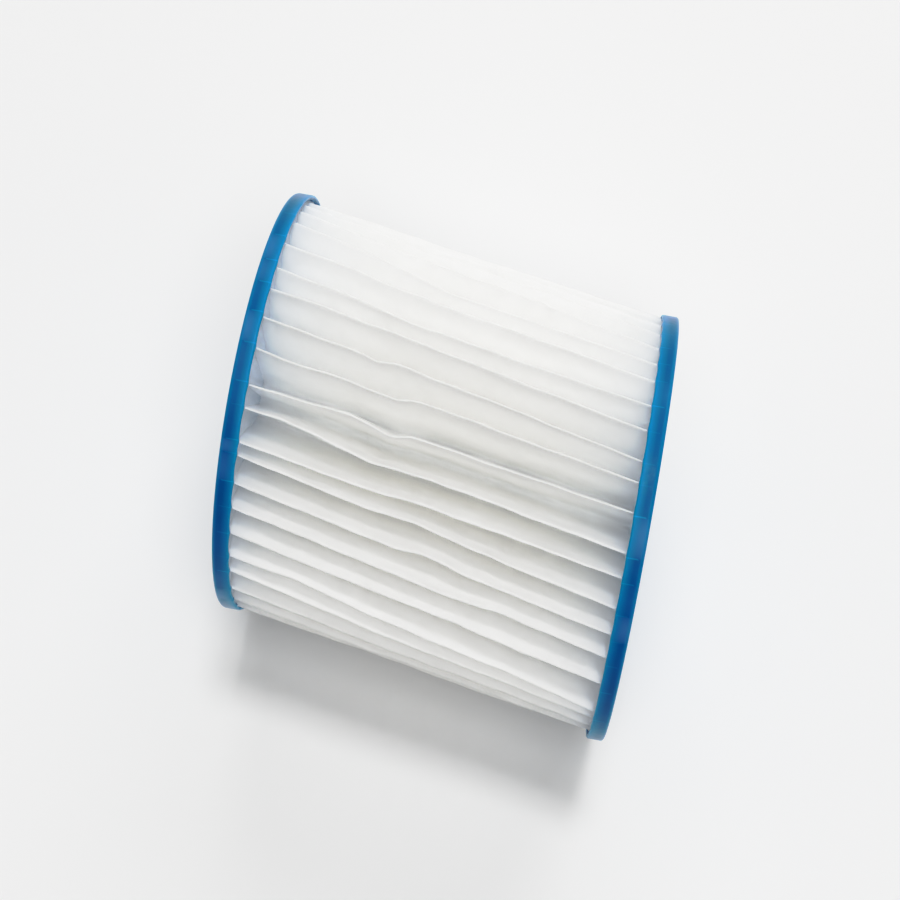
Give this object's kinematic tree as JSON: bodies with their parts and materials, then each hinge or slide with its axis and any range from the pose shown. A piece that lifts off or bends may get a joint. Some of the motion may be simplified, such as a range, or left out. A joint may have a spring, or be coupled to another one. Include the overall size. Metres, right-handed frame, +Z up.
{
  "type": "pleated pump filter cartridge",
  "caption": "Pleated water-filter cartridge for a small pump: white folded fabric and a perforated core between two cast blue end rings, open right through.",
  "frame": {"origin": "on the surface that the cartridge lies on, below the middle of its box", "axes": "+X square to both end rings, from the left ring to the right one; +Y level, towards the side that the left ring leans to; +Z up"},
  "size_m": [0.0984, 0.1212, 0.1059],
  "materials": {
    "end_cap": "satin, slightly see-through cast polyurethane",
    "media": "matt white spunbond polyester",
    "seam": "cloudy hot-melt glue",
    "core": "white moulded plastic, satin"
  },
  "bodies": {
    "root": {"left_end_cap": "end_cap", "right_end_cap": "end_cap", "pleated_media": "media", "media_seam_bead": "seam", "perforated_core": "core"}
  },
  "joints": []
}
